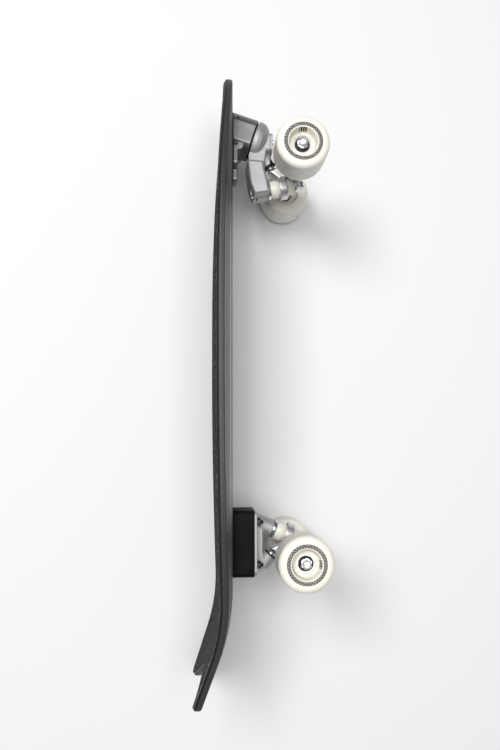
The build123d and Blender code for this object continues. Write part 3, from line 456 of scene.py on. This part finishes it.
def turned_lines(f, distance):
    """Fine rings left by a lathe, which change only with the distance from the axle."""
    values = {"W": distance, "Scale": TURNED_LINES_PER_METRE}
    return f.node("ShaderNodeTexNoise", {"noise_dimensions": "1D"}, values)


def steel_finish(name, colour, rough, brushed_about_axle=True):
    """Ground, turned or plated steel with a little staining."""
    finish = Finish(name, Metallic=1.0, Roughness=rough)
    f = finish
    if brushed_about_axle:
        distance, _ = around_wheel(f)
        lines = turned_lines(f, distance)
    else:
        lines = f.noise(1600.0, 2.0, stretch=(0.2, 1.0, 1.0))
    stain = f.noise(120.0, 5.0)
    dull = tuple(c * 0.72 for c in colour)
    f.wire(Base_Color=f.mix(stain, dull, colour), Roughness=rough * 0.7 + lines * rough * 0.6)
    f.bump(lines, 0.02 * MM, 0.6)
    return finish


ground_steel = steel_finish("ground_steel", (0.78, 0.78, 0.79), 0.24)
race_finish = Finish("race_and_shield", Roughness=0.3)
f = race_finish
distance, _ = around_wheel(f)
shield = distance < SHIELD_RADIUS
groove_and_painted_shade = abs(distance - GROOVE_RADIUS) < GROOVE_HALF
hair = turned_lines(f, distance)
# The groove's rubber is painted darker still: painted shade inside the moulded groove.
rubber = f.mix(groove_and_painted_shade, (0.014, 0.014, 0.015), (0.004, 0.004, 0.004))
steel = f.mix(hair, (0.55, 0.55, 0.56), (0.75, 0.75, 0.76))
f.wire(
    Base_Color=f.mix(shield, steel, rubber),
    Metallic=1 - shield,
    Roughness=0.26 + shield * 0.26 + hair * 0.1,
)
f.bump(groove_and_painted_shade * -1.0 + hair * 0.1, 0.2 * MM)
for wheel, _ in WHEELS:
    cover(f"{wheel}_outer_races", race_finish)
    cover(f"{wheel}_balls", ground_steel)

# ---------------------------------------------------------------- axles, nuts and washers
# Zinc plated steel with the blue cast of fresh plating. The axle ends are threaded, and each
# half-inch lock nut holds a grey nylon ring in its collar.
THREAD_START = 107.8 * MM
THREAD_PITCH = 1.06 * MM
NUT_FACE = 114.8 * MM
COLLAR = [(4.06 * MM, 0), (5.5 * MM, 0), (5.5 * MM, 0.5 * MM), (5.0 * MM, 1.0 * MM), (4.06 * MM, 1.0 * MM)]

zinc = steel_finish("zinc_plate", (0.76, 0.79, 0.82), 0.2, brushed_about_axle=False)
axle_finish = Finish("threaded_axle", Metallic=1.0, Roughness=0.3)
f = axle_finish
_, turn = around_wheel(f)
thread = ((f.y / THREAD_PITCH + turn).part() - 0.5) * (abs(f.y) > THREAD_START)
wipe = f.noise(200.0, 4.0)
f.wire(Base_Color=f.mix(wipe, (0.50, 0.51, 0.52), (0.74, 0.75, 0.76)), Roughness=0.22 + wipe * 0.2)
f.bump(abs(thread) * 2.0, 0.35 * MM)


def crisp(piece, width, sharp=30):
    """Round a machined piece's edges slightly, so that they catch the light."""
    weld = piece.modifiers.new("weld", "WELD")
    weld.merge_threshold = 0.01 * MM
    bevel = piece.modifiers.new("edge", "BEVEL")
    bevel.width = width
    bevel.segments = 2
    bevel.limit_method = "ANGLE"
    bevel.angle_limit = radians(sharp)
    bevel.use_clamp_overlap = True
    bevel.harden_normals = True
    piece.data.shade_smooth()
    return piece


nylon = Finish("nylon_collar", Roughness=0.45)
f = nylon
speck = f.noise(700.0, 4.0)
f.wire(Base_Color=f.mix(speck, (0.42, 0.44, 0.45), (0.60, 0.62, 0.62)), Roughness=0.4 + speck * 0.2)
f.bump(speck, 0.05 * MM)
for end, axle in (("front", FRONT_AXLE), ("rear", REAR_AXLE)):
    for part in ("axle_nuts", "kingpin_nut", "kingpin_washers"):
        crisp(cover(f"{end}_{part}", zinc), 0.18 * MM)
    for part in ("inner_races", "bearing_spacers", "speed_rings"):
        cover(f"{end}_{part}", ground_steel)
    cover(f"{end}_axle", axle_finish)
    cover(f"{end}_kingpin", zinc)
    for side, way in (("left", 1), ("right", -1)):
        ring = [(r, way * (NUT_FACE + along)) for r, along in COLLAR]
        collar = lathe(f"{end}_{side}_nut_collar", ring, Vector((axle, 0, AXLE_HEIGHT)), steps=48)
        smooth_by_angle(collar.data, 30)
        cover(collar, nylon)
        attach(collar, f"{end}_truck")

# ---------------------------------------------------------------- cast truck parts
# Aluminium castings, tumbled until their corners are soft. The hangers are polished bright; the
# baseplate, the adapter's base and its swinging arm keep a satin skin with a fine grain.


def casting(node, name, body, voxel, softness):
    """Soften a machined solid's corners the way tumbling softens a casting's."""
    piece = merged_copy(node, name)
    remesh = piece.modifiers.new("skin", "REMESH")
    remesh.mode = "VOXEL"
    remesh.voxel_size = voxel
    remesh.use_smooth_shade = True
    relax = piece.modifiers.new("tumble", "SMOOTH")
    relax.factor = 0.5
    relax.iterations = softness
    baked(piece)
    piece.data.shade_smooth()
    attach(piece, body)
    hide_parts(node)
    return piece


def cast_finish(name, low, high, rough, grain_depth):
    """Bare aluminium between two tones, clouded and handled."""
    finish = Finish(name, Metallic=1.0, Roughness=rough)
    f = finish
    grain = f.noise(1100.0, 3.0)
    cloud = f.noise(55.0, 5.0)
    handled = f.noise(420.0, 6.0, stretch=(1.0, 0.5, 1.0))
    tone = f.mix(cloud, low, high)
    f.wire(Base_Color=tone, Roughness=rough * 0.75 + cloud * rough * 0.3 + handled * rough * 0.25)
    f.bump(grain * 0.6 + handled * 0.4, grain_depth)
    return finish


satin_cast = cast_finish("satin_casting", (0.17, 0.17, 0.175), (0.30, 0.30, 0.305), 0.45, 0.05 * MM)
pale_cast = cast_finish("pale_casting", (0.46, 0.455, 0.465), (0.58, 0.57, 0.58), 0.66, 0.06 * MM)
polished_cast = cast_finish("polished_casting", (0.60, 0.60, 0.61), (0.74, 0.74, 0.75), 0.42, 0.015 * MM)
CASTINGS = [
    ("surf_base", "adapter_base", "board", satin_cast, 0.62, 5),
    ("swing_arm", "adapter_arm", "front_arm", pale_cast, 0.62, 5),
    ("rear_baseplate", "rear_plate", "board", pale_cast, 0.55, 4),
    ("front_hanger", "front_cast_hanger", "front_truck", polished_cast, 0.55, 14),
    ("rear_hanger", "rear_cast_hanger", "rear_truck", polished_cast, 0.55, 14),
]
for node, name, body, finish, voxel, softness in CASTINGS:
    piece = casting(node, name, body, voxel * MM, softness)
    cover(piece, finish)
crisp(cover("swivel_cover", pale_cast), 0.4 * MM)

# ---------------------------------------------------------------- bushings and pivot cups
# Poured urethane bushings between their washers, a barrel on the board's side and a cone on the
# road's side, and the black moulded cups that the hangers' pivots turn in.
bushing_finish = Finish(
    "bushing_urethane",
    Roughness=0.35,
    Subsurface_Weight=0.3,
    Subsurface_Radius=(1.0, 0.85, 0.6),
    Subsurface_Scale=3 * MM,
)
f = bushing_finish
swirl = f.noise(120.0, 5.0)
f.wire(Base_Color=f.mix(swirl, (0.80, 0.78, 0.66), (0.90, 0.88, 0.79)), Roughness=0.3 + swirl * 0.15)
f.bump(swirl, 0.08 * MM)
black_moulded = Finish("black_moulded", Specular_IOR_Level=0.15)
f = black_moulded
leather = f.noise(1400.0, 3.0)
dust = f.noise(26.0, 6.0)
f.wire(
    Base_Color=f.mix((dust - 0.4).most(0.0), (0.0025, 0.0025, 0.004), (0.016, 0.017, 0.020)),
    Roughness=0.45 + leather * 0.2 + dust * 0.1,
)
f.bump(leather, 0.04 * MM)
for end in ("front", "rear"):
    for part in ("boardside_bushing", "roadside_bushing"):
        crisp(cover(f"{end}_{part}", bushing_finish), 0.6 * MM, sharp=20)
    cover(f"{end}_pivot_cup", black_moulded)

# ---------------------------------------------------------------- riser, pad and seal
# A solid black riser lifts the rear truck; a thin black gasket lies under the front adapter, and
# a ring of black felt fills the swivel's seam to keep the grit out.
crisp(cover("rear_riser_block", black_moulded), 1.2 * MM)
cover("front_pad", black_moulded)
cover("swivel_dust_seal", black_moulded)

# ---------------------------------------------------------------- deck hardware
# Black oxide bolts with hex sockets, sunk flush with the grip, and the small black lock nuts that
# hold the rear truck.
black_oxide = Finish("black_oxide", Metallic=0.85, Roughness=0.4)
f = black_oxide
oxide = f.noise(500.0, 4.0)
f.wire(Base_Color=f.mix(oxide, (0.016, 0.016, 0.018), (0.055, 0.055, 0.058)), Roughness=0.3 + oxide * 0.25)
f.bump(oxide, 0.03 * MM)
for node in ("front_deck_bolts", "rear_deck_bolts", "rear_deck_nuts"):
    crisp(cover(node, black_oxide), 0.15 * MM)

# ---------------------------------------------------------------- swivel parts
# The pivot shaft, its bearings, the return spring and the stop, all zinc plated and mostly hidden
# in the adapter.
for node in (
    "swivel_shaft",
    "swivel_needle_bearing",
    "swivel_thrust_washers",
    "swivel_lock_nut",
    "swivel_stop_pin",
    "swivel_cover_screws",
    "return_spring",
):
    cover(node, zinc)

# ---------------------------------------------------------------- backdrop, light and camera
# The board lies on its side rail on a pale seamless table, under two broad soft window lights. The
# table is clear from behind, and a third window stands behind it, for the views from that side.
TABLE_Y = 128 * MM
TABLE_HALF = 6.0
ROOM_STRENGTH = 0.17
BOARD_MIDDLE = Vector((0, 0, 0.05))

table_mesh = bpy.data.meshes.new("table")
corners = [(-1, -1), (-1, 1), (1, 1), (1, -1)]
corners = [(x * TABLE_HALF, TABLE_Y, z * TABLE_HALF) for x, z in corners]
table_mesh.from_pydata(corners, [], [(0, 1, 2, 3)])
if table_mesh.polygons[0].normal.y > 0:
    table_mesh.flip_normals()
table = bpy.data.objects.new("table", table_mesh)
bpy.context.scene.collection.objects.link(table)
paper = bpy.data.materials.new("table_paper")
paper.use_nodes = True
tree = paper.node_tree
shader = tree.nodes["Principled BSDF"]
shader.inputs["Base Color"].default_value = (0.90, 0.90, 0.905, 1)
shader.inputs["Roughness"].default_value = 0.9
clear = tree.nodes.new("ShaderNodeBsdfTransparent")
side = tree.nodes.new("ShaderNodeNewGeometry")
either = tree.nodes.new("ShaderNodeMixShader")
tree.links.new(side.outputs["Backfacing"], either.inputs[0])
tree.links.new(shader.outputs[0], either.inputs[1])
tree.links.new(clear.outputs[0], either.inputs[2])
tree.links.new(either.outputs[0], tree.nodes["Material Output"].inputs[0])
table_mesh.materials.append(paper)

world = bpy.data.worlds.new("room")
bpy.context.scene.world = world
world.use_nodes = True
room = world.node_tree.nodes["Background"]
room.inputs["Color"].default_value = (0.97, 0.98, 1.0, 1)
room.inputs["Strength"].default_value = ROOM_STRENGTH


def window(name, place, size, power):
    """A square soft light that faces the middle of the board."""
    light = bpy.data.lights.new(name, "AREA")
    light.shape = "SQUARE"
    light.size = size
    light.energy = power
    lamp = bpy.data.objects.new(name, light)
    lamp.visible_camera = False
    bpy.context.scene.collection.objects.link(lamp)
    turned = (Vector(place) - BOARD_MIDDLE).to_track_quat("Z", "Y").to_matrix().to_4x4()
    lamp.matrix_world = Matrix.Translation(place) @ turned


window("window", (0.9, -3.0, 1.2), size=1.2, power=62)
window("fill", (0.1, -3.4, 0.05), size=1.6, power=58)
window("far_window", (-0.5, 2.3, 1.3), size=1.4, power=45)

CAMERA_PLACE = Vector((-0.0827, -0.9985, 0.1568))
PITCH, YAW, ROLL = radians(4.976), radians(3.790), radians(0.195)
SENSOR_HEIGHT = 36
FOCAL_LENGTH = 36.37
NEAREST_SEEN = 10 * MM

right, up, ahead = Vector((0, 0, -1)), Vector((1, 0, 0)), Vector((0, 1, 0))
ahead, up = cos(PITCH) * ahead + sin(PITCH) * up, cos(PITCH) * up - sin(PITCH) * ahead
ahead, right = cos(YAW) * ahead + sin(YAW) * right, cos(YAW) * right - sin(YAW) * ahead
right, up = cos(ROLL) * right + sin(ROLL) * up, cos(ROLL) * up - sin(ROLL) * right
lens = bpy.data.cameras.new("camera")
lens.sensor_fit = "VERTICAL"
lens.sensor_height = SENSOR_HEIGHT
lens.lens = FOCAL_LENGTH
lens.clip_start = NEAREST_SEEN
camera = bpy.data.objects.new("camera", lens)
bpy.context.scene.collection.objects.link(camera)
facing = Matrix((right, up, -ahead)).transposed().to_4x4()
camera.matrix_world = Matrix.Translation(CAMERA_PLACE) @ facing
bpy.context.scene.camera = camera
bpy.context.scene.view_settings.view_transform = "Standard"
